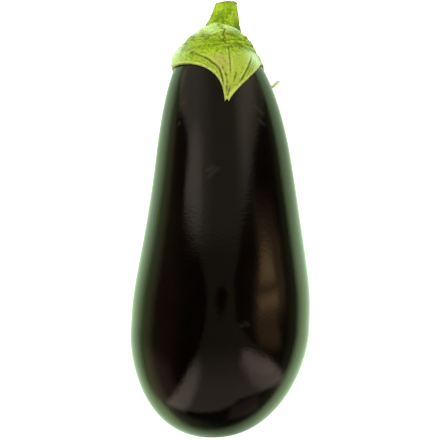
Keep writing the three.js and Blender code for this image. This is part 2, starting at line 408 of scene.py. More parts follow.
def closed_mesh(name, points, first, last, masks, material, node):
    """A smooth closed piece from rows of points, (rows, columns, 3) in millimetres, between two
    end points. Masks are arrays of the same rows and columns, kept on the mesh for materials."""
    rows, columns = points.shape[:2]
    flat = np.concatenate([first[None], points.reshape(-1, 3), last[None]]) * MM
    mesh = bpy.data.meshes.new(name)
    mesh.from_pydata(flat.tolist(), [], grid_faces(columns, rows))
    mesh.polygons.foreach_set("use_smooth", np.ones(len(mesh.polygons), bool))
    for mask, values in masks.items():
        attribute = mesh.attributes.new(mask, "FLOAT", "POINT")
        ends = [[values[0].mean()], values.ravel(), [values[-1].mean()]]
        attribute.data.foreach_set("value", np.concatenate(ends).astype(np.float32))
    mesh.materials.append(material)
    piece = bpy.data.objects.new(name, mesh)
    bpy.context.scene.collection.objects.link(piece)
    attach(piece, "root")
    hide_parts(node)


# Shader nodes
def feed(tree, socket, value):
    """Links another socket into this one, or sets its plain value. A colour is red, green, blue."""
    if isinstance(value, bpy.types.NodeSocket):
        tree.links.new(value, socket)
    else:
        socket.default_value = (*value, 1) if socket.type == "RGBA" else value


def add(tree, kind, inputs=None, **settings):
    """A node with its settings, and with its inputs fed by name or number."""
    made = tree.nodes.new(kind)
    for name, value in settings.items():
        setattr(made, name, value)
    for name, value in (inputs or {}).items():
        feed(tree, made.inputs[name], value)
    return made


def mixed(tree, factor, a, b):
    """A colour between a and b."""
    made = add(tree, "ShaderNodeMix", {0: factor}, data_type="RGBA")
    feed(tree, made.inputs[6], a)
    feed(tree, made.inputs[7], b)
    return made.outputs[2]


def maths(tree, operation, *values):
    return add(tree, "ShaderNodeMath", dict(enumerate(values)), operation=operation).outputs[0]


def mask_of(tree, name):
    return add(tree, "ShaderNodeAttribute", attribute_name=name).outputs["Fac"]


def new_group(name, inputs, outputs):
    """An empty node group with float or vector inputs, given as {name: default}."""
    group = bpy.data.node_groups.new(name, "ShaderNodeTree")
    for label, default in inputs.items():
        kind = "NodeSocketVector" if default is None else "NodeSocketFloat"
        socket = group.interface.new_socket(label, in_out="INPUT", socket_type=kind)
        if default is not None:
            socket.default_value = default
    for label in outputs:
        group.interface.new_socket(label, in_out="OUTPUT", socket_type="NodeSocketFloat")
    start = group.nodes.new("NodeGroupInput")
    end = group.nodes.new("NodeGroupOutput")
    return group, start.outputs, end.inputs


def make_blotches():
    """Uneven patches: 0 where the noise is under Low, 1 over High."""
    group, given, out = new_group(
        "blotches", {"Place": None, "Size": 0.01, "Low": 0.4, "High": 0.6}, ["Mask"]
    )
    scale = maths(group, "DIVIDE", 1, given["Size"])
    noise = add(
        group, "ShaderNodeTexNoise",
        {"Vector": given["Place"], "Scale": scale, "Detail": 4, "Roughness": 0.6},
    )
    ramp = add(
        group, "ShaderNodeMapRange",
        {"Value": noise.outputs["Fac"], "From Min": given["Low"], "From Max": given["High"]},
        interpolation_type="SMOOTHSTEP",
    )
    group.links.new(ramp.outputs[0], out["Mask"])
    return group


def make_grain():
    """Fine surface height: pits of one size and lumps of another."""
    group, given, out = new_group(
        "grain", {"Place": None, "Pit Size": 0.001, "Lump Size": 0.003, "Pits": 0.5}, ["Height"]
    )
    pits = add(
        group, "ShaderNodeTexVoronoi",
        {"Vector": given["Place"], "Scale": maths(group, "DIVIDE", 1, given["Pit Size"])},
        feature="SMOOTH_F1",
    )
    lumpy = add(
        group, "ShaderNodeTexNoise",
        {"Vector": given["Place"], "Scale": maths(group, "DIVIDE", 1, given["Lump Size"]),
         "Detail": 5, "Roughness": 0.65},
    )
    pitted = maths(group, "MULTIPLY", pits.outputs["Distance"], given["Pits"])
    total = maths(group, "ADD", lumpy.outputs["Fac"], pitted)
    group.links.new(total, out["Height"])
    return group


def use(tree, group, **inputs):
    """The group placed in a material with its own values."""
    named = {label.replace("_", " "): value for label, value in inputs.items()}
    return add(tree, "ShaderNodeGroup", named, node_tree=group).outputs[0]


def new_material(name, **values):
    """A material with a Principled shader, whose plain values are set by socket name."""
    material = bpy.data.materials.new(name)
    material.use_nodes = True
    tree = material.node_tree
    shader = tree.nodes["Principled BSDF"]
    for label, value in values.items():
        feed(tree, shader.inputs[label.replace("_", " ")], value)
    return material, tree, shader


def place_on(tree):
    """The place on the piece, for patterns that stay on its surface."""
    return tree.nodes.new("ShaderNodeTexCoord").outputs["Object"]


def bumped(tree, shader, height, distance):
    bump = add(tree, "ShaderNodeBump", {"Height": height, "Distance": distance})
    tree.links.new(bump.outputs["Normal"], shader.inputs["Normal"])


def toned(tree, colour, tones):
    """The colour with others laid over it in turn, each given as its mask's name and its tone."""
    for mask, tone in tones:
        colour = mixed(tree, mask_of(tree, mask), colour, tone)
    return colour


blotches = make_blotches()
grain = make_grain()


def make_skin():
    """Waxy skin, almost black, with a faint warm patch and the cork of the blossom scar."""
    material, tree, shader = new_material(
        "eggplant skin", IOR=1.5, Sheen_Weight=0.06, Sheen_Roughness=0.3, Sheen_Tint=(0.45, 0.8, 0.35)
    )
    place = place_on(tree)
    patches = use(tree, blotches, Place=place, Size=0.03, Low=0.35, High=0.7)
    colour = mixed(tree, patches, (0.0006, 0.0004, 0.0003), (0.0018, 0.0011, 0.0008))
    # A faint warm-tinted patch on the skin.
    colour = mixed(tree, mask_of(tree, "warm_patch"), colour, (0.0035, 0.0018, 0.0008))
    specks = use(tree, blotches, Place=place, Size=0.0012, Low=0.72, High=0.78)
    colour = mixed(tree, maths(tree, "MULTIPLY", specks, 0.25), colour, (0.03, 0.022, 0.018))
    scuff = maths(tree, "MULTIPLY", mask_of(tree, "scuff"), 0.5)
    colour = mixed(tree, scuff, colour, (0.016, 0.014, 0.011))
    cork = use(tree, blotches, Place=place, Size=0.0016, Low=0.3, High=0.7)
    scar = mixed(tree, cork, (0.13, 0.07, 0.03), (0.36, 0.24, 0.13))
    scarred = mask_of(tree, "scar")
    tree.links.new(mixed(tree, scarred, colour, scar), shader.inputs["Base Color"])
    dull = maths(tree, "MULTIPLY_ADD", patches, 0.03, 0.08)
    rough = maths(tree, "MULTIPLY_ADD", scarred, 0.6, dull)
    tree.links.new(rough, shader.inputs["Roughness"])
    bumped(tree, shader, use(tree, grain, Place=place, Pit_Size=0.0014, Lump_Size=0.0028), 0.00004)
    return material


# Downy green tissue, the calyx's and the stem's
GREEN_TISSUE = {
    "IOR": 1.45,
    "Sheen_Weight": 1,
    "Sheen_Roughness": 0.16,
    "Sheen_Tint": (0.8, 1, 0.5),
    "Subsurface_Weight": 0.08,
    "Subsurface_Scale": 0.0015,
    "Subsurface_Radius": (0.6, 1, 0.2),
}


def make_leaf():
    """Yellow-green calyx tissue with pale margins and dry streaks, painted highlights on its crests
    and shoulder, painted sheen on its sides and painted shade in its folds and creases.
    """
    material, tree, shader = new_material("calyx leaf", Specular_IOR_Level=0.08, **GREEN_TISSUE)
    place = place_on(tree)
    large = use(tree, blotches, Place=place, Size=0.005, Low=0.38, High=0.62)
    small = use(tree, blotches, Place=place, Size=0.0018, Low=0.4, High=0.6)
    tiny = use(tree, blotches, Place=place, Size=0.001, Low=0.5, High=0.62)
    colour = mixed(tree, large, (0.2, 0.34, 0.003), (0.29, 0.42, 0.016))
    colour = toned(tree, colour, (
        ("olive", (0.34, 0.42, 0.05)),
        ("stain", (0.33, 0.29, 0.08)),
        # Painted highlight: pale green on the cap's shoulder round the stem's foot.
        ("shoulder_highlight", (0.5, 0.68, 0.22)),
        ("margin", (0.37, 0.43, 0.07)),
        # Deep green patches of the calyx's own, with painted shade along its creases laid in.
        ("deep_green_and_crease_shade", (0.17, 0.31, 0.001)),
    ))
    uneven = maths(tree, "MULTIPLY_ADD", mask_of(tree, "olive"), -0.45, 0.65)
    colour = mixed(tree, maths(tree, "MULTIPLY", small, uneven), colour, (0.44, 0.57, 0.03))
    colour = mixed(tree, maths(tree, "MULTIPLY", tiny, uneven), colour, (0.06, 0.14, 0.001))
    colour = toned(tree, colour, (
        # Painted sheen: pale mint on the calyx's sides, beside its shoulders and on its curled tip.
        ("painted_sheen", (0.66, 0.88, 0.48)),
        # dark is painted shade in the folds, grooves and creases; pale is painted highlight on the
        # crests, with the pale line along the rim.
        ("dark", (0.06, 0.075, 0.002)),
        ("pale", (0.62, 0.6, 0.2)),
        ("dry", (0.11, 0.05, 0.006)),
    ))
    tree.links.new(colour, shader.inputs["Base Color"])
    rough = maths(tree, "MULTIPLY_ADD", small, 0.15, 0.5)
    tree.links.new(rough, shader.inputs["Roughness"])
    bumped(tree, shader, use(tree, grain, Place=place, Pit_Size=0.0008, Lump_Size=0.0014), 0.0003)
    return material


def make_stalk():
    """Fibrous green stem, with a brown dry rim round its pale cut, and painted shade in its dents and
    furrows, darker towards its foot.
    """
    material, tree, shader = new_material("stem stalk", Specular_IOR_Level=0.12, **GREEN_TISSUE)
    place = place_on(tree)
    large = use(tree, blotches, Place=place, Size=0.0035, Low=0.38, High=0.62)
    small = use(tree, blotches, Place=place, Size=0.0016, Low=0.42, High=0.6)
    tiny = use(tree, blotches, Place=place, Size=0.001, Low=0.5, High=0.62)
    colour = mixed(tree, large, (0.19, 0.33, 0.002), (0.34, 0.5, 0.01))
    colour = mixed(tree, maths(tree, "MULTIPLY", small, 0.5), colour, (0.4, 0.54, 0.04))
    colour = mixed(tree, maths(tree, "MULTIPLY", tiny, 0.6), colour, (0.1, 0.18, 0.001))
    pith = mixed(tree, small, (0.5, 0.52, 0.24), (0.4, 0.4, 0.15))
    colour = toned(tree, colour, (
        # Painted shade: darker green in the stem's dents and furrows, and darker towards its foot.
        ("hollow", (0.1, 0.19, 0.002)),
        ("cut", pith),
        ("dry", (0.16, 0.09, 0.025)),
    ))
    tree.links.new(colour, shader.inputs["Base Color"])
    rough = maths(tree, "MULTIPLY_ADD", small, 0.15, 0.55)
    tree.links.new(rough, shader.inputs["Roughness"])
    bumped(tree, shader, use(tree, grain, Place=place, Pit_Size=0.0007, Lump_Size=0.0012), 0.0003)
    return material


# The fruit
def make_fruit():
    """The fruit's skin, flat where it rests. Returns where the leant shape goes in the frame."""
    reach = np.linspace(0, SKIN_LENGTH, FRUIT_ROWS + 2)[1:-1, None]
    angle = (np.arange(FRUIT_SIDES) * 360 / FRUIT_SIDES)[None]
    radius, height, out_radius, out_height = skin_at(reach)
    bare = bend(upright(angle, radius, height))
    low = bare.reshape(-1, 3).min(axis=0)
    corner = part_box("fruit")[0] / MM
    shift = np.array([corner.x - low[0], corner.y - low[1], -low[2] - FLAT_DEPTH])

    raised = layered(upright(angle, radius, height), SKIN_WAVES)
    scuffed = np.zeros_like(raised)
    for line, width, depth in SCUFFS:
        away, share = near_line(angle, reach, line)
        scuff = hump(away, width) * fading(share, 0.25, 0.25)
        raised = raised - depth * scuff
        scuffed = np.maximum(scuffed, scuff)
    ragged = SCAR_RADIUS * (1 + SCAR_RAGGED * lumps(bare, SCAR_RAGGED_SIZE, 2))
    in_scar = smoothstep(1.3 * (1.2 - radius / ragged)) * (height < BELLY_AT)
    rays = np.cos(np.radians(angle) * SCAR_RAYS + 2 * lumps(bare, 4)) * radius / SCAR_RADIUS
    raised = raised - in_scar * (SCAR_DEPTH + SCAR_RAY_DEPTH * rays)
    points = upright(angle, radius + raised * out_radius, height + raised * out_height)
    points = bend(points) + shift
    points[..., 2] = np.maximum(points[..., 2], 0)
    blossom = bend(np.array([0, SCAR_DEPTH, 0])) + shift
    top = bend(np.array([0, FRUIT_LENGTH, 0])) + shift
    masks = {
        "scar": smoothstep(in_scar * 2.2),
        "scuff": scuffed,
        "warm_patch": patches(angle, reach, (WARM_PATCH,)),
    }
    closed_mesh("fruit_skin", points, top, blossom, masks, make_skin(), "fruit")
    return shift


# The calyx
def rim_at(lobe, angle):
    """How far down the skin a lobe reaches at angles between its two sinuses."""
    left, right = lobe["left"], lobe["right"]
    reach = lobe["reach"]
    across = (angle - left["tip"]) / (right["tip"] - left["tip"])
    if 0 < across < 1:
        return reach - TIP_NOTCH * math.sin(math.pi * across)
    side = left if across <= 0 else right
    share = min(1, abs((angle - side["tip"]) / (side["sinus"] - side["tip"])))
    waves = sum(up * hump(turned_by(angle - at), spread) for at, up, spread in RIM_WAVES)
    reach = mix(side["reach"], reach, (1 - share ** side["sharp"]) ** side["hollow"])
    return reach - waves


def side_angles(side, share):
    """The angles at the cap's ring and at the rim, a share of the way from a lobe's tip."""
    at_ring = mix(side["tip"], side["sinus"], share)
    return at_ring, mix(side["tip"], side["sinus"], share ** (1 / side["sharp"]))


def make_columns():
    """The calyx's columns: angle at the cap's ring, angle and reach at the rim, and the curl
    they share with their lobe. They crowd towards the tips at the rim."""
    rows = []
    for lobe in LOBES:
        left, right, steps = lobe["left"], lobe["right"], lobe["steps"]
        pairs = [side_angles(left, step / steps) for step in range(steps, 0, -1)]
        for step in range(TIP_STEPS + 1):
            angle = mix(left["tip"], right["tip"], step / TIP_STEPS)
            pairs.append((angle, angle))
        pairs += [side_angles(right, step / steps) for step in range(1, steps)]
        rows += [(at_ring, at_rim, rim_at(lobe, at_rim), lobe["curl"]) for at_ring, at_rim in pairs]
    ring, angle, reach = (np.array([row[k] for row in rows]) for k in range(3))
    curls = {key: np.array([row[3][key] for row in rows], float) for key in ("from", "radius", "turn")}
    return ring, angle, reach, curls


def calyx_points(angle, reach, height, curls):
    """Points at angles and reaches, and at heights off the skin. Past the start of its lobe's
    curl, the calyx leaves the skin on an arc, and then straight on."""
    past = np.maximum(0, reach - curls["from"])
    turn = np.minimum(past / curls["radius"], np.radians(curls["turn"]))
    straight = past - turn * curls["radius"]
    radius, along, out_radius, out_along = skin_at(np.minimum(reach, curls["from"]))
    out = GAP + curls["radius"] * (1 - np.cos(turn)) + straight * np.sin(turn) + height * np.cos(turn)
    down = (curls["radius"] - height) * np.sin(turn) + straight * np.cos(turn)
    radius = radius + down * out_along + out * out_radius
    along = along - down * out_radius + out * out_along
    return upright(angle, radius, along)


def fold(angle, reach, line, first, last):
    """The relief of a fold, and as masks the painted shade along its line and the painted
    highlight on its crest. The leaf beyond the line, to its left, stands over the margin."""
    away, share = near_line(angle, reach, line)
    here = fading(share, first, last)
    step = (smoothstep(away / FOLD_WIDTH / 2 + 0.5) - 0.5) * np.exp(-np.abs(away) / FOLD_REACH)
    # Painted shade along the fold's line and painted highlight on its crest; the fine lines beside it
    # get painted shade in their troughs and painted highlight on their tops.
    dark = hump(away, FOLD_WIDTH) * here
    crest = hump(away - FOLD_CREST_AT, FOLD_CREST_WIDTH) * here
    lines = hump(away - FOLD_LINES_AT, FOLD_LINES_WIDTH) * here
    lines = lines * np.cos(2 * np.pi * away / FOLD_LINE_PITCH)
    raised = FOLD_STEP * step * here - FOLD_DEPTH * dark + FOLD_CREST * crest + FOLD_LINE * lines
    return raised, dark + 0.7 * np.maximum(-lines, 0), crest + 0.5 * np.maximum(lines, 0)


def groove(angle, reach, line, width, first, last):
    """A narrow line as a mask."""
    away, share = near_line(angle, reach, line)
    return hump(away, width) * fading(share, first, last)


def calyx_lines(angle, reach, spot):
    """The relief of the folds, the midrib, the cracks and the dry streaks, and their masks, with
    painted shade and highlight along the folds, midrib and seam.
    """
    left, left_dark, left_crest = fold(angle, reach, FOLD_LEFT[::-1], 0.12, 0.25)
    right, right_dark, right_crest = fold(angle, reach, FOLD_RIGHT, 0.3, 0.25)
    rib_away, rib_share = near_line(angle, reach, MIDRIB)
    rib = hump(rib_away, MIDRIB_WIDTH) * fading(rib_share, 0.12, 0.3)
    rib_crest = hump(np.abs(rib_away) - MIDRIB_CREST_AT, MIDRIB_CREST_WIDTH)
    rib_crest = rib_crest * fading(rib_share, 0.12, 0.2)
    broken = smoothstep(0.85 + 0.9 * lumps(spot, 1.2, 12))
    streak_left = groove(angle, reach, STREAK_LEFT, STREAK_WIDTH, 0.1, 0.2) * broken
    streak_right = groove(angle, reach, STREAK_RIGHT, STREAK_WIDTH, 0.2, 0.3) * broken
    seam = groove(angle, reach, SEAM_RIGHT, SEAM_WIDTH, 0.3, 0.2)
    crack = groove(angle, reach, CRACK, CRACK_WIDTH, 0.1, 0.2)
    raised = left + right - MIDRIB_DEPTH * rib + MIDRIB_CREST * rib_crest
    raised = raised - STREAK_LEFT_DEPTH * streak_left - STREAK_RIGHT_DEPTH * streak_right
    raised = raised - SEAM_DEPTH * seam - CRACK_DEPTH * crack
    folds_dark = (left_dark + right_dark) * (0.6 + 0.4 * broken)
    # dark is painted shade in the folds, the midrib's groove and the seam; pale is painted highlight
    # on the fold crests and the midrib's flanks; dry is the brown of the streaks and the crack.
    masks = {
        "dark": 0.95 * folds_dark + 0.65 * rib + 0.8 * seam,
        "pale": 0.4 * left_crest + 0.4 * right_crest + 0.15 * rib_crest,
        "dry": streak_left + 0.8 * streak_right + 0.9 * crack,
    }
    return raised, masks


def calyx_creases(angle, reach, spot):
    """The wrinkles that cross the cap between its foot and its lobes, as a mask."""
    sideways = outline_at(reach)[0] * np.radians(turned_by(angle - 5))
    warp = CREASE_WARP * lumps(spot, 7, 3)
    stretched = together(sideways / CREASE_LENGTH, (reach + warp) / CREASE_PITCH, 0.2 * warp)
    creased = smoothstep((reach - CREASES_FROM) / 4) * smoothstep((CREASES_TO - reach) / 5)
    creased = creased * smoothstep(0.85 + 0.7 * lumps(spot, 6, 5))
    return hump(lumps(stretched, 1, 4), CREASE_WIDTH) * creased


def calyx_colours(angle, reach, spot, to_rim):
    """The masks of the calyx's colours that its lines don't give, among them the painted highlight on
    its shoulder and the painted sheen on its sides.
    """
    facing = hump(turned_by(angle - 10), 52)
    # Painted sheen beside the shoulders and on the curled tip.
    shoulder_side_sheen = hump(np.abs(turned_by(angle - 14)) - 50, 32) * hump(reach - 8.8, 4.2)
    shoulder_side_sheen = shoulder_side_sheen * smoothstep(0.95 + 0.7 * lumps(spot, 2.2, 7))
    curled_tip_sheen = hump(turned_by(angle - 113), 12) * smoothstep((reach - 36) / 3)
    scorch = hump(turned_by(angle + 36), 9) * hump(reach - 24.4 - (angle + 36) / 9, 1)
    scorch = scorch * smoothstep(0.6 + 1.2 * lumps(spot, 1.6, 6))
    scorched_rim = hump(turned_by(angle - 92), 9) * smoothstep(1.3 - to_rim / 1.5)
    return {
        "deep_green_and_crease_shade": patches(angle, reach, RIPE),
        "olive": 0.8 * smoothstep((reach - 24) / 3) * smoothstep(to_rim / 4) * facing,
        "stain": patches(angle, reach, STAINS),
        # Painted highlight on the shoulder round the stem's foot.
        "shoulder_highlight": 0.9 * hump(reach - 9, 4) * smoothstep(0.9 + lumps(spot, 3, 6)),
        "margin": 0.6 * smoothstep(1 - to_rim / 2.4) * smoothstep((reach - 22) / 4),
        # Painted sheen, pale mint on the sides.
        "painted_sheen": patches(angle, reach, PAINTED_SHEEN_PATCHES) + 0.75 * shoulder_side_sheen + 0.7 * curled_tip_sheen,
        "dry": 0.9 * scorch + 0.9 * scorched_rim,
    }


def calyx_relief(angle, reach, to_rim):
    """The calyx's height over its inner face, and the masks of its colours."""
    radius = outline_at(reach)[0]
    turn = np.radians(angle)
    across, up = radius * np.sin(turn), radius * np.cos(turn)
    spot = together(across, up, reach)
    from_collar = np.hypot(across - COLLAR_OFFSET, up)
    collar = (COLLAR_OUTER_RADIUS - from_collar) / (COLLAR_OUTER_RADIUS - COLLAR_INNER_RADIUS)
    raised = mix(EDGE_THICKNESS, BODY_THICKNESS, smoothstep(to_rim / EDGE_WIDTH))
    raised = raised + COLLAR_THICKNESS * smoothstep(collar) + patches(angle, reach, PUFFS)

    from_foot = np.hypot(across - STEM_OFFSET, up) - STEM_BASE_RADIUS
    raised = raised + FOOT_SWELL * hump(from_foot - FOOT_SWELL_AT, FOOT_SWELL_WIDTH)
    raised = raised - FOOT_CREASE * hump(from_foot, FOOT_CREASE_WIDTH)

    inside = smoothstep((to_rim - 0.2) / 3)
    crease = calyx_creases(angle, reach, spot) * inside
    rim_crest = hump(to_rim - RIM_CREST_AT, RIM_CREST_WIDTH)
    lines, line_masks = calyx_lines(angle, reach, spot)
    raised = raised + lines - CREASE_DEPTH * crease
    raised = raised + RIM_CREST * rim_crest * smoothstep(reach / CAP_RING)
    raised = raised + layered(spot, LEAF_LUMPS) * inside

    masks = calyx_colours(angle, reach, spot, to_rim)
    # Painted shade along the creases: deeper green and dark lines in them.
    masks["deep_green_and_crease_shade"] = masks["deep_green_and_crease_shade"] + 0.7 * crease
    masks["dry"] = masks["dry"] + line_masks["dry"]
    masks["dark"] = line_masks["dark"] + 0.6 * crease
    masks["pale"] = line_masks["pale"] + 0.45 * rim_crest
    return raised, {name: np.clip(mask, 0, 1) for name, mask in masks.items()}


def make_calyx(shift):
    """The calyx: out over its outer face from the stem's foot to the rim, round the edge, and
    back along its inner face."""
    ring, rim_angle, rim_reach, curls = make_columns()
    out = np.linspace(0, 1, CALYX_OUTER_ROWS + 1)[1:, None]
    back = np.linspace(1, 0, CALYX_INNER_ROWS + 1)[1:-1, None]
    share = np.concatenate([out, np.ones((CALYX_EDGE_ROWS - 1, 1)), back])
    reach = rim_reach * share
    down = np.clip((reach - CAP_RING) / (rim_reach - CAP_RING), 0, 1)
    angle = mix(rim_angle, ring, (1 - down) ** COLUMN_BEND)
    rim = list(zip(rim_angle, rim_reach))[::3]
    to_rim = np.abs(near_line(angle, reach, rim, closed=True)[0])
    to_rim[reach >= rim_reach - 1e-6] = 0
    raised, masks = calyx_relief(angle, reach, to_rim)
    height = raised.copy()
    height[CALYX_OUTER_ROWS + CALYX_EDGE_ROWS - 1:] = 0
    for k in range(CALYX_EDGE_ROWS):
        row = CALYX_OUTER_ROWS - 1 + k
        height[row] = EDGE_THICKNESS * (1 - (k / (CALYX_EDGE_ROWS - 1)) ** 1.5)
    points = bend(calyx_points(angle, reach, height, curls)) + shift
    top = bend(np.array([0, FRUIT_LENGTH + GAP + BODY_THICKNESS + COLLAR_THICKNESS, 0])) + shift
    under = bend(np.array([0, FRUIT_LENGTH + GAP, 0])) + shift
    closed_mesh("calyx_leaf", points, top, under, masks, make_leaf(), "calyx")


# The stem
def make_stem(shift):
    """The stem: seat, side and cut, as one closed skin."""
    height = STEM_TOP - STEM_SEAT
    around = (np.arange(STEM_SIDES) * 2 * np.pi / STEM_SIDES)[None]
    side_up = np.linspace(0, height - STEM_CUT_BEVEL, STEM_ROWS)
    bevel = np.linspace(0, 1, 7)[1:]
    cut_in = np.linspace(1, 0, STEM_CUT_ROWS + 1)[1:-1]
    inset = STEM_CUT_BEVEL / STEM_TOP_RADIUS
    bevel_up = height - STEM_CUT_BEVEL + STEM_CUT_BEVEL * np.sin(bevel * np.pi / 2)
    bevel_share = 1 - inset * (1 - np.cos(bevel * np.pi / 2))
    shares = np.concatenate([[0.5], np.ones(STEM_ROWS), bevel_share, cut_in * (1 - inset)])[:, None]
    sunk = height - 0.5 * STEM_CUT_BEVEL * smoothstep((1 - cut_in) * 3)
    ups = np.concatenate([[0], side_up, bevel_up, sunk])[:, None]

    flare = STEM_FLARE * smoothstep(1 - ups / STEM_FLARE_HEIGHT)
    taper = mix(STEM_BASE_RADIUS - STEM_FLARE, STEM_TOP_RADIUS, ups / height)
    rib = 1 + STEM_RIB_SHARE * np.cos(STEM_RIBS * around)
    full = (taper + flare) * rib
    spot = together(full * np.sin(around), STEM_LUMP_STRETCH * ups, full * np.cos(around))
    bumps = layered(spot, STEM_LUMPS) - STEM_DENT * hump(np.degrees(around) - 90, STEM_DENT_SPREAD)
    on_cut = smoothstep((shares < 0.999) * (ups > height / 2) * (1.35 - shares) / 0.35)
    furrow = lumps(together(STEM_FURROWS * around, 0.12 * ups, 0), 1, 7)
    radius = shares * (full + (bumps + STEM_FURROW_DEPTH * furrow) * (1 - on_cut))
    x = radius * np.sin(around)
    slope = mix(-STEM_SEAT_SLOPE, STEM_CUT_SLOPE, np.clip(ups / height, 0, 1))
    rough_cut = STEM_CUT_ROUGH * lumps(spot * shares[..., None], 1.1, 8) * on_cut
    points = together(
        x + STEM_OFFSET + STEM_LEAN * ups / height,
        STEM_SEAT + ups + slope * x + rough_cut,
        radius * np.cos(around),
    )
    corner = STEM_CORNER * np.maximum(0, x - STEM_CORNER_FROM) ** 2
    points[..., 1] = np.minimum(points[..., 1], STEM_TOP + slope * x - corner)
    first = np.array([STEM_OFFSET, STEM_SEAT, 0])
    last = np.array([STEM_OFFSET + STEM_LEAN, STEM_TOP - 0.5 * STEM_CUT_BEVEL, 0])
    rim = smoothstep(1 - np.abs(ups - height + 0.5) / 1.1) * (shares > 0.8)
    patch = smoothstep(0.5 + 1.6 * lumps(spot, 3.5, 9))
    ring = hump(shares - 0.85, 0.12) * on_cut
    masks = {
        "cut": on_cut + 0 * around,
        "dry": np.clip(rim * (0.4 + 0.6 * patch) + 0.7 * ring * patch, 0, 1),
        # Painted shade in the dents and furrows, darker towards the foot.
        "hollow": np.clip(0.4 - ups / 12 - 2.2 * bumps - 0.2 * furrow, 0, 1) * (1 - on_cut),
    }
    first, last = bend(first) + shift, bend(last) + shift
    closed_mesh("stem_stalk", bend(points) + shift, first, last, masks, make_stalk(), "stem")


# The studio around it
FLOOR_RADIUS = 1500
FLOOR_RINGS = (*range(20, 420, 20), 500, 650, 900, FLOOR_RADIUS)
FLOOR_SECTORS = 72
WORLD_STRENGTH = 0.8

# The floor's light for the gloss: bright near the eggplant's spine and weaker far from it, with
# its own values at the left and at the right
GLOW_SPINE = 60
GLOW_NEAR = 1.45
GLOW_FRONT_LOSS = 0.9
GLOW_BEHIND_LOSS = 0.4
GLOW_FAR_RIGHT = 0.16
GLOW_FAR_LEFT = 0.45
GLOW_EDGE_RIGHT = 98
GLOW_EDGE_LEFT = 67
GLOW_EDGE_FRONT = 60
GLOW_EDGE_WIDTH = 85
GLOW_RED = (0.7, 0.95)
GLOW_BLUE = (0.62, 0.44)


def ring_mesh(name, rings, middle, colours, attribute):
    """A round mesh from rings of points about a middle point, all in millimetres, with colours
    of the same rows and columns kept as an attribute. The first colour is the middle's too."""
    rows, columns = rings.shape[:2]
    points = np.concatenate([[middle], rings.reshape(-1, 3)]) * MM
    faces = []
    for k in range(columns):
        after = (k + 1) % columns
        faces.append((0, 1 + k, 1 + after))
        for row in range(rows - 1):
            inner = 1 + row * columns
            faces.append((inner + k, inner + columns + k, inner + columns + after, inner + after))
    mesh = bpy.data.meshes.new(name)
    mesh.from_pydata(points.tolist(), [], faces)
    layer = mesh.attributes.new(attribute, "FLOAT_COLOR", "POINT")
    flat = np.concatenate([colours[0].mean(axis=0)[None], colours.reshape(-1, 3)])
    flat = np.concatenate([flat, np.ones((len(flat), 1))], axis=1)
    layer.data.foreach_set("color", flat.ravel().astype(np.float32))
    made = bpy.data.objects.new(name, mesh)
    bpy.context.scene.collection.objects.link(made)
    return made


def colour_of(tree, name):
    return add(tree, "ShaderNodeAttribute", attribute_name=name).outputs["Color"]


def floor_glow(x, y):
    """The light the gloss sees on the floor: greenish round the eggplant, long to the left,
    short to the right and weak in front of the blossom end."""
    beside = y - np.clip(y, -GLOW_SPINE, GLOW_SPINE)
    away = np.hypot(x, beside)
    way = np.degrees(np.arctan2(x, -beside))
    leftness = smoothstep(0.5 - x / 160)
    frontness = hump(way - 6, 27)
    behind = mix(1, 0.45, leftness) * smoothstep((y + 20) / 60)
    near = GLOW_NEAR - GLOW_FRONT_LOSS * frontness - GLOW_BEHIND_LOSS * behind
    far = mix(GLOW_FAR_RIGHT, GLOW_FAR_LEFT, leftness) * np.exp((100 - away) / 300)
    far = far * (1 - 0.8 * frontness)
    edge = mix(GLOW_EDGE_RIGHT, GLOW_EDGE_LEFT, leftness) + GLOW_EDGE_FRONT * hump(way + 42, 16)
    level = mix(near, far, smoothstep((away - edge) / GLOW_EDGE_WIDTH))
    red = mix(*GLOW_RED, smoothstep((away - 110) / 190))
    blue = mix(*GLOW_BLUE, smoothstep((away - 55) / 80))
    return together(red * level, level, blue * level)


def make_floor():
    """A pale floor, white to the camera and the leaf, with its own glow for the gloss."""
    turn = (np.arange(FLOOR_SECTORS) * 2 * np.pi / FLOOR_SECTORS)[None]
    out = np.array(FLOOR_RINGS, float)[:, None]
    x, y = out * np.cos(turn), out * np.sin(turn)
    floor = ring_mesh("studio_floor", together(x, y, 0.0), (0, 0, 0), floor_glow(x, y), "mirrored")
    material, tree, shader = new_material(
        "studio floor", Base_Color=(0.88, 0.88, 0.88), Roughness=0.9, Specular_IOR_Level=0.1,
        Emission_Color=(1, 1, 1), Emission_Strength=0.62,
    )
    mirrored = add(tree, "ShaderNodeEmission", {"Color": colour_of(tree, "mirrored")})
    path = tree.nodes.new("ShaderNodeLightPath")
    both = add(
        tree, "ShaderNodeMixShader",
        {0: path.outputs["Is Glossy Ray"], 1: shader.outputs[0], 2: mirrored.outputs[0]},
    )
    tree.links.new(both.outputs[0], tree.nodes["Material Output"].inputs["Surface"])
    floor.data.materials.append(material)


def make_world():
    """White to the camera, soft to the leaf, and dark to the gloss."""
    world = bpy.data.worlds.new("studio")
    bpy.context.scene.world = world
    world.use_nodes = True
    tree = world.node_tree
    soft = tree.nodes["Background"]
    path = tree.nodes.new("ShaderNodeLightPath")
    strength = maths(tree, "MAXIMUM", path.outputs["Is Camera Ray"], WORLD_STRENGTH)
    feed(tree, soft.inputs["Color"], (1, 1, 1))
    feed(tree, soft.inputs["Strength"], strength)
    dark = add(tree, "ShaderNodeBackground", {"Color": (1, 0.6, 0.35), "Strength": 0.02})
    both = add(
        tree, "ShaderNodeMixShader",
        {0: path.outputs["Is Glossy Ray"], 1: soft.outputs[0], 2: dark.outputs[0]},
    )
    tree.links.new(both.outputs[0], tree.nodes["World Output"].inputs["Surface"])


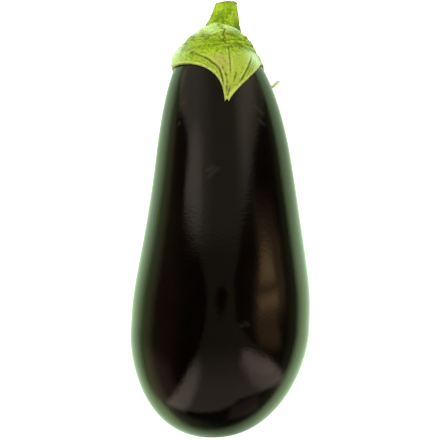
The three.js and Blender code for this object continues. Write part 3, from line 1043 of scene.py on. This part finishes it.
# What the gloss mirrors: lights drawn on a dome, seen by the gloss alone. Corners are
# (right, up) angles from straight overhead. Each light has its glow, the softness of its edges
# in degrees, and at times a ramp, along which it grows from nothing at the first point.
DOME_RADIUS = 180
DOME_EDGE = 89
SIDE_LEFT = (
    (-66, 64), (-65, 43), (-52, 36.5), (-46, 32), (-42, 29), (-42.5, 27.5), (-47.5, 25.5),
    (-46, 22.5), (-40, 20.6), (-31, 18.4),
)
SIDE_RIGHT = ((21, 19), (27, 21.5), (33, 26), (38, 29), (46, 34), (54, 40), (62, 46), (70, 64))
LIGHTS = {
    "hourglass": {
        "corners": (
            *SIDE_LEFT, (-24, 15.3), (-17, 11.5), (-14, 6), (-12, 0), (-12, -7), (-13, -16),
            (-15, -24), (-18, -31), (-22, -38), (-26, -44), (-31, -50), (-36, -58), (-39, -64),
            (-22, -64), (0, -62), (12, -59), (18, -55), (30, -56), (44, -60), (58, -60),
            (60, -52), (52, -44), (42, -35.5), (33, -29.5), (25, -23), (18, -14), (13, -6),
            (12, 3), (12, 10), (17, 14.5), *SIDE_RIGHT,
        ),
        "glow": (0.125, 0.1, 0.06),
        "soft": 3,
    },
    "back": {
        "corners": (*SIDE_LEFT, (-20, 17), (0, 17), (14, 17), *SIDE_RIGHT),
        "glow": (0.13, 0.12, 0.09),
        "soft": 6,
    },
    "back_left": {
        "corners": (*SIDE_LEFT, (-14, 17), (-4, 30), (-4, 64)),
        "glow": (0.3, 0.26, 0.22),
        "soft": 6,
        "ramp": ((-6, 30), (-36, 30)),
    },
    "back_left_low": {
        "corners": ((-46, 31), (-47, 25), (-43, 21.5), (-35, 19.5), (-25, 19), (-25, 27), (-32, 33)),
        "glow": (0.42, 0.37, 0.31),
        "soft": 9,
    },
    "back_right": {
        "corners": (
            (22, 64), (20, 36), (18, 22), (22, 18.6), (28, 20), (33, 25), (34, 30), (40, 37),
            (46, 44), (52, 64),
        ),
        "glow": (0.59, 0.51, 0.41),
        "soft": 18,
        "ramp": ((26, 14), (30, 36)),
    },
    "front": {
        "corners": (
            (-14, -24), (-18, -31), (-26, -44), (-36, -58), (-42, -64), (-20, -63), (0, -61),
            (10, -58), (17, -55), (30, -56), (44, -59), (57, -58), (58, -52), (50, -44),
            (40, -35), (32, -29), (24, -22),
        ),
        "glow": (0.3, 0.24, 0.2),
        "soft": 4,
        "ramp": ((0, -20), (0, -50)),
    },
    "front_left": {
        "corners": (
            (-13, -27), (-18, -31), (-22, -37), (-26, -43), (-31, -50), (-37, -58), (-42, -66),
            (-25, -65), (-19, -56), (-15, -46), (-12, -36),
        ),
        "glow": (0.85, 0.7, 0.58),
        "soft": 7,
        "ramp": ((-12, -25), (-20, -42)),
    },
    "front_right": {
        "corners": (
            (18, -28), (24, -28.5), (31, -32.5), (42, -38), (51, -46), (56, -52), (65, -60),
            (66, -67), (54, -63), (44, -58), (36, -55), (28, -49), (22, -41), (16, -34),
        ),
        "glow": (0.55, 0.42, 0.38),
        "soft": 6,
    },
    "front_right_high": {
        "corners": (
            (18, -27.5), (24, -28.5), (31, -32.5), (42, -38), (51, -46), (46, -49), (36, -46),
            (26, -41), (20, -34),
        ),
        "glow": (0.42, 0.3, 0.26),
        "soft": 5,
    },
    "warm": {
        "corners": (
            (36, 20), (38, 14), (33, 5), (31, -6), (31, -18), (34, -27), (46, -32), (56, -34),
            (57, -24), (56, -13), (68, -10), (71, 0), (70, 14), (60, 19), (45, 20),
        ),
        "glow": (0.36, 0.22, 0.11),
        "soft": 11,
    },
    "lamp_upper": {
        "corners": ((41, 13), (38, 5), (48, 4), (57, 5), (55, 12), (48, 14)),
        "glow": (1.1, 0.71, 0.36),
        "soft": 8,
    },
    "lamp_lower": {
        "corners": ((34, -2), (37, -7), (50, -8.5), (59, -8), (59, -1.5), (48, -1)),
        "glow": (0.95, 0.6, 0.32),
        "soft": 6,
    },
    "dim_left": {
        "corners": ((-130, -90), (-46, -70), (-36, -40), (-40, 0), (-52, 18), (-66, 36), (-130, 60)),
        "glow": (0.07, 0.035, 0.02),
        "soft": 24,
    },
    "dim_low": {
        "corners": ((-110, -100), (-40, -80), (-30, -50), (-40, -38), (-60, -34), (-110, -40)),
        "glow": (0.2, 0.13, 0.09),
        "soft": 14,
    },
    "dim_front": {
        "corners": ((12, -58), (34, -58), (34, -74), (10, -72)),
        "glow": (0.17, 0.11, 0.1),
        "soft": 6,
    },
}

# The camera's dark mirror image in the middle of the lights, in the same degrees
LENS_AT = (0.5, 0)
LENS_RADIUS = 5
LENS_SOFTNESS = 3


def inside_share(right, up, corners, soft):
    """How far inside a polygon places are: 0 outside, 1 inside, half on its edges."""
    nearest = np.full(right.shape, np.inf)
    crossed = np.zeros(right.shape, bool)
    for a, b in zip(corners, (*corners[1:], corners[0])):
        dx, dy = b[0] - a[0], b[1] - a[1]
        along = np.clip(((right - a[0]) * dx + (up - a[1]) * dy) / (dx * dx + dy * dy), 0, 1)
        nearest = np.minimum(nearest, np.hypot(right - a[0] - along * dx, up - a[1] - along * dy))
        if a[1] != b[1]:
            passes = (up < a[1]) != (up < b[1])
            crossed ^= passes & (right < a[0] + (up - a[1]) * dx / dy)
    return smoothstep(0.5 + np.where(crossed, nearest, -nearest) / soft)


def make_dome():
    """A dome of light round the eggplant that only the gloss sees."""
    tilt = np.arange(1, DOME_EDGE + 1, dtype=float)[:, None]
    turn = np.radians(np.arange(0, 360, 1.0))[None]
    right, up = tilt * np.cos(turn), tilt * np.sin(turn)
    glow = np.zeros((*right.shape, 3))
    for light in LIGHTS.values():
        share = inside_share(right, up, light["corners"], light["soft"])
        if "ramp" in light:
            (x, y), (far_x, far_y) = light["ramp"]
            dx, dy = far_x - x, far_y - y
            share = share * smoothstep(((right - x) * dx + (up - y) * dy) / (dx * dx + dy * dy))
        glow += share[..., None] * np.array(light["glow"])
    from_lens = np.hypot(right - LENS_AT[0], up - LENS_AT[1])
    glow *= smoothstep(0.5 + (from_lens - LENS_RADIUS) / LENS_SOFTNESS)[..., None]
    flat = DOME_RADIUS * np.sin(np.radians(tilt))
    points = together(flat * np.cos(turn), flat * np.sin(turn), DOME_RADIUS * np.cos(np.radians(tilt)))
    dome = ring_mesh("studio_dome", points, (0, 0, DOME_RADIUS), glow, "glow")
    material = bpy.data.materials.new("studio dome")
    material.use_nodes = True
    tree = material.node_tree
    light = add(tree, "ShaderNodeEmission", {"Color": colour_of(tree, "glow")})
    clear = add(tree, "ShaderNodeBsdfTransparent")
    both = add(tree, "ShaderNodeAddShader", {0: light.outputs[0], 1: clear.outputs[0]})
    tree.links.new(both.outputs[0], tree.nodes["Material Output"].inputs["Surface"])
    dome.data.materials.append(material)
    dome.visible_camera = False
    dome.visible_diffuse = False
    dome.visible_shadow = False
    dome.visible_transmission = False


# Soft lamps, as place in metres, size, power and colour
LAMPS = {
    "lamp_key": ((-0.5, 0.55, 0.9), 0.4, 7, (1, 1, 0.97)),
    "lamp_fill": ((0.8, -0.3, 0.7), 0.8, 2, (1, 1, 1)),
}


def make_lamp(name, place, size, power, colour):
    """A soft square lamp aimed at the eggplant, unseen by the gloss."""
    light = bpy.data.lights.new(name, "AREA")
    light.size = size
    light.energy = power
    light.color = colour
    lamp = bpy.data.objects.new(name, light)
    lamp.location = place
    lamp.rotation_euler = (-Vector(place)).to_track_quat("-Z", "Y").to_euler()
    lamp.visible_glossy = False
    bpy.context.scene.collection.objects.link(lamp)


def make_camera():
    camera = bpy.data.cameras.new("camera")
    camera.sensor_width = SENSOR
    camera.lens = LENS
    camera.clip_end = 50
    placed = bpy.data.objects.new("camera", camera)
    placed.location = (CAMERA_X, CAMERA_Y, CAMERA_HEIGHT)
    bpy.context.scene.collection.objects.link(placed)
    bpy.context.scene.camera = placed


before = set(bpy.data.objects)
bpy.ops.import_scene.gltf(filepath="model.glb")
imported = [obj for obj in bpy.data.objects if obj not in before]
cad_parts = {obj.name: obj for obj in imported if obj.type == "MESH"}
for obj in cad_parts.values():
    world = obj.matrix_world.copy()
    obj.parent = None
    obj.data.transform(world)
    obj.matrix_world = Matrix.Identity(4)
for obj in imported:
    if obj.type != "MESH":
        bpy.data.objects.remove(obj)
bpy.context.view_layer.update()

shift = make_fruit()
make_calyx(shift)
make_stem(shift)

make_floor()
make_world()
make_dome()
for lamp, values in LAMPS.items():
    make_lamp(lamp, *values)
make_camera()
bpy.context.scene.view_settings.view_transform = "Standard"
